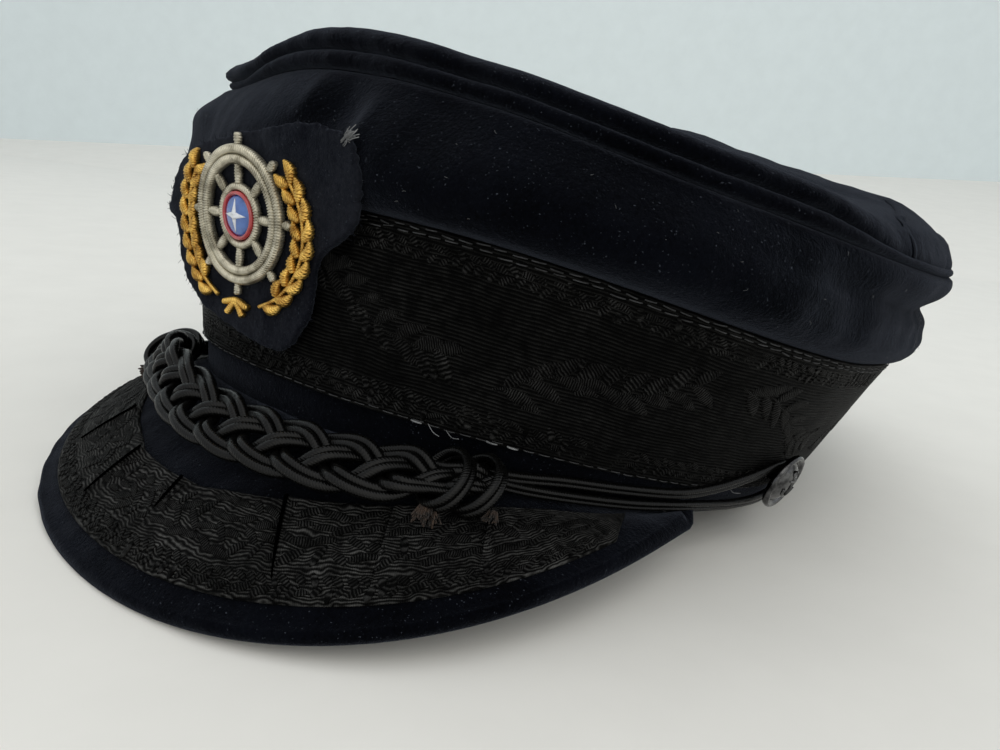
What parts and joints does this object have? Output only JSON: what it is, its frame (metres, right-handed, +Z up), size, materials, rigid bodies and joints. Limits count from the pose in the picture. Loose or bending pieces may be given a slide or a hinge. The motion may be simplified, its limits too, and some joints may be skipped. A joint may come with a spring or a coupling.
{
  "type": "peaked cap",
  "caption": "Dark wool skipper's cap with a soft crown, a ribbon band, a stiff ribboned peak, a plaited cord held by side buttons and a bullion badge, lying on a surface.",
  "frame": {"origin": "centre of the footprint of the cap's bounding box, on the surface it lies on", "axes": "+Z up; the peak points to -Y; the wearer's left is +X"},
  "size_m": [0.229, 0.2748, 0.1146],
  "materials": {
    "wool": "napped navy wool",
    "felt": "cut navy felt",
    "ribbon": "black ribbed and woven ribbon with a soft shine",
    "cord": "black satin cord",
    "cord_end": "cut cord end, brown with glue",
    "button_metal": "dark polished silver colour",
    "silver_thread": "twisted metal thread, slightly tarnished",
    "gold_thread": "twisted metal thread",
    "enamel": "gloss"
  },
  "bodies": {
    "root": {"head_band": "wool", "band_ribbon": "ribbon", "crown_side": "wool", "crown_welt": "wool", "crown_top": "wool", "peak": "wool", "peak_ribbon": "ribbon", "cord_plait": "cord", "badge_patch": "felt", "badge_wheel": "silver_thread", "badge_disc": "enamel", "badge_spray_left": "gold_thread", "badge_spray_right": "gold_thread", "cord_wrap_left_1": "cord", "cord_end_left_1": "cord_end", "cord_wrap_left_2": "cord", "cord_end_left_2": "cord_end", "cord_tail_left": "cord", "button_left": "button_metal", "cord_wrap_right_1": "cord", "cord_end_right_1": "cord_end", "cord_wrap_right_2": "cord", "cord_end_right_2": "cord_end", "cord_tail_right": "cord", "button_right": "button_metal"}
  },
  "joints": []
}
